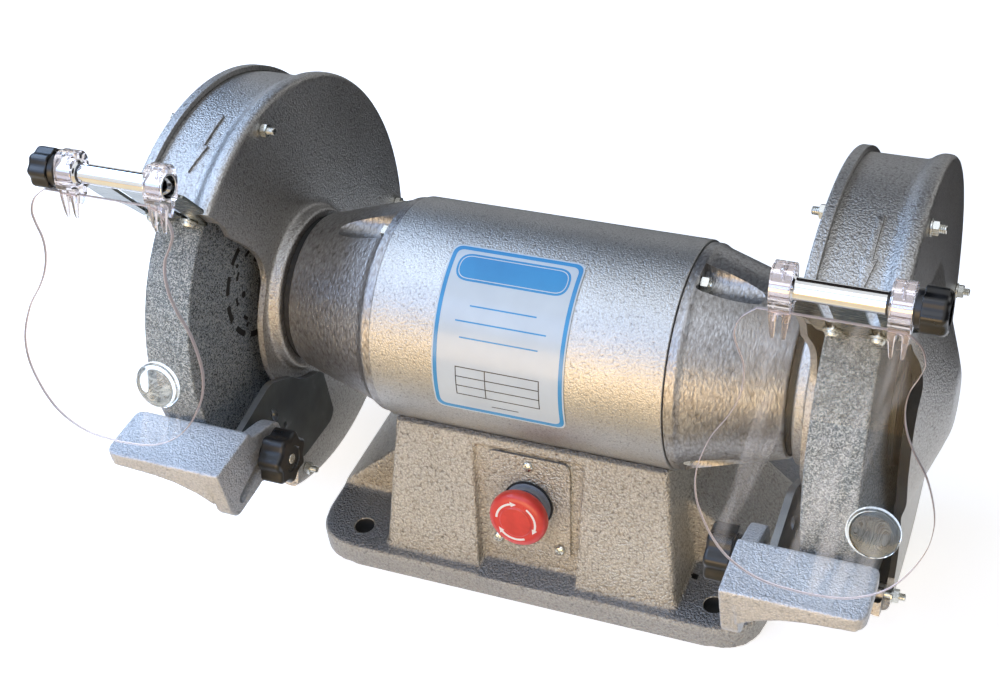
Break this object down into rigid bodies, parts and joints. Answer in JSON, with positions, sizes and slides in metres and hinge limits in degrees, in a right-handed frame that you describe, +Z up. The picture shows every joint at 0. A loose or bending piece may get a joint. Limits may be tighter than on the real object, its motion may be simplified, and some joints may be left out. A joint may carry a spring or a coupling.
{
  "type": "bench grinder",
  "caption": "Double-ended industrial bench grinder with hooded wheels, adjustable tool rests, clear eye shields and a push-button stop on a cast pedestal.",
  "frame": {"origin": "centre of the base's underside, on the bench", "axes": "+X along the spindle to the right, -Y to the front where the user stands, +Z up"},
  "size_m": [0.5596, 0.3174, 0.3405],
  "materials": {
    "hammered_enamel": "silver-grey hammered enamel over cast iron",
    "rest_enamel": "light blue-grey enamel over cast iron",
    "dark_steel": "charcoal semi-gloss paint",
    "steel": "machined steel",
    "zinc": "bright zinc plate",
    "chrome": "polished chrome plate",
    "abrasive": "vitrified aluminium oxide, coarse grain",
    "black_plastic": "moulded black phenolic",
    "red_plastic": "moulded red plastic",
    "grey_plastic": "moulded grey plastic",
    "label_film": "printed self-adhesive film",
    "clear_plastic": "clear acrylic",
    "copper": "laminations with copper windings"
  },
  "bodies": {
    "machine": {"base_casting": "hammered_enamel", "switch_plate": "hammered_enamel", "motor_shell": "hammered_enamel", "left_end_bell": "hammered_enamel", "right_end_bell": "hammered_enamel", "left_guard_housing": "hammered_enamel", "left_guard_cover": "hammered_enamel", "right_guard_wall": "hammered_enamel", "right_guard_housing": "hammered_enamel", "bottom_cover_plate": "dark_steel", "left_rest_bracket": "dark_steel", "right_rest_bracket": "dark_steel", "left_bearing": "steel", "right_bearing": "steel", "switch_plate_screw_1": "zinc", "switch_plate_screw_2": "zinc", "switch_plate_screw_3": "zinc", "tie_bolt_1": "zinc", "tie_bolt_2": "zinc", "tie_bolt_3": "zinc", "left_guard_bolt_1": "zinc", "left_guard_bolt_2": "zinc", "left_guard_bolt_3": "zinc", "right_guard_bolt_1": "zinc", "right_guard_bolt_2": "zinc", "right_guard_bolt_3": "zinc", "left_shield_screw_1": "zinc", "left_shield_screw_2": "zinc", "right_shield_screw_1": "zinc", "right_shield_screw_2": "zinc", "stop_button_collar": "grey_plastic", "data_label": "label_film", "stator_core": "copper"},
    "rotor": {"spindle": "steel", "rotor_core": "steel", "left_wheel": "abrasive", "left_inner_flange": "steel", "left_outer_flange": "steel", "left_spindle_nut": "zinc", "right_wheel": "abrasive", "right_inner_flange": "steel", "right_outer_flange": "steel", "right_spindle_nut": "zinc"},
    "stop_button": {"stop_button_cap": "red_plastic"},
    "left_rest": {"left_tool_rest": "rest_enamel"},
    "left_rest_clamp": {"left_rest_knob": "black_plastic"},
    "left_shield_arm": {"left_shield_bracket": "chrome"},
    "left_shield": {"left_shield_clip_1": "clear_plastic", "left_shield_clip_2": "clear_plastic", "left_eye_shield": "clear_plastic", "left_lens": "clear_plastic"},
    "left_shield_clamp": {"left_shield_knob": "black_plastic"},
    "right_rest": {"right_tool_rest": "rest_enamel"},
    "right_rest_clamp": {"right_rest_knob": "black_plastic"},
    "right_shield_arm": {"right_shield_bracket": "chrome"},
    "right_shield": {"right_shield_clip_1": "clear_plastic", "right_shield_clip_2": "clear_plastic", "right_eye_shield": "clear_plastic", "right_lens": "clear_plastic"},
    "right_shield_clamp": {"right_shield_knob": "black_plastic"}
  },
  "joints": [
    {"name": "spindle_spin", "type": "hinge", "parent": "machine", "child": "rotor", "pos_m": [0, 0, 0.165], "axis": [1, 0, 0], "continuous": true},
    {"name": "stop_press", "type": "slide", "parent": "machine", "child": "stop_button", "axis": [0, 0.9796, -0.2011], "range_m": [0, 0.004]},
    {"name": "left_rest_slide", "type": "slide", "parent": "machine", "child": "left_rest", "axis": [0, -0.9703, -0.2419], "range_m": [-0.003, 0.01]},
    {"name": "left_rest_knob_turn", "type": "hinge", "parent": "machine", "child": "left_rest_clamp", "pos_m": [-0.165, -0.118, 0.122], "axis": [-1, 0, 0], "range_deg": [0, 360]},
    {"name": "left_shield_slide", "type": "slide", "parent": "machine", "child": "left_shield_arm", "axis": [0, -0.5807, 0.8141], "range_m": [0, 0.008]},
    {"name": "left_shield_tilt", "type": "hinge", "parent": "left_shield_arm", "child": "left_shield", "pos_m": [-0.212, -0.1172, 0.32707], "axis": [-1, 0, 0], "range_deg": [-8, 85]},
    {"name": "left_shield_knob_turn", "type": "hinge", "parent": "left_shield_arm", "child": "left_shield_clamp", "pos_m": [-0.212, -0.1172, 0.32707], "axis": [1, 0, 0], "range_deg": [0, 360]},
    {"name": "right_rest_slide", "type": "slide", "parent": "machine", "child": "right_rest", "axis": [0, -0.9703, -0.2419], "range_m": [-0.003, 0.01]},
    {"name": "right_rest_knob_turn", "type": "hinge", "parent": "machine", "child": "right_rest_clamp", "pos_m": [0.165, -0.118, 0.122], "axis": [1, 0, 0], "range_deg": [0, 360]},
    {"name": "right_shield_slide", "type": "slide", "parent": "machine", "child": "right_shield_arm", "axis": [0, -0.5807, 0.8141], "range_m": [0, 0.008]},
    {"name": "right_shield_tilt", "type": "hinge", "parent": "right_shield_arm", "child": "right_shield", "pos_m": [0.212, -0.1172, 0.32707], "axis": [-1, 0, 0], "range_deg": [-8, 85]},
    {"name": "right_shield_knob_turn", "type": "hinge", "parent": "right_shield_arm", "child": "right_shield_clamp", "pos_m": [0.212, -0.1172, 0.32707], "axis": [-1, 0, 0], "range_deg": [0, 360]}
  ]
}
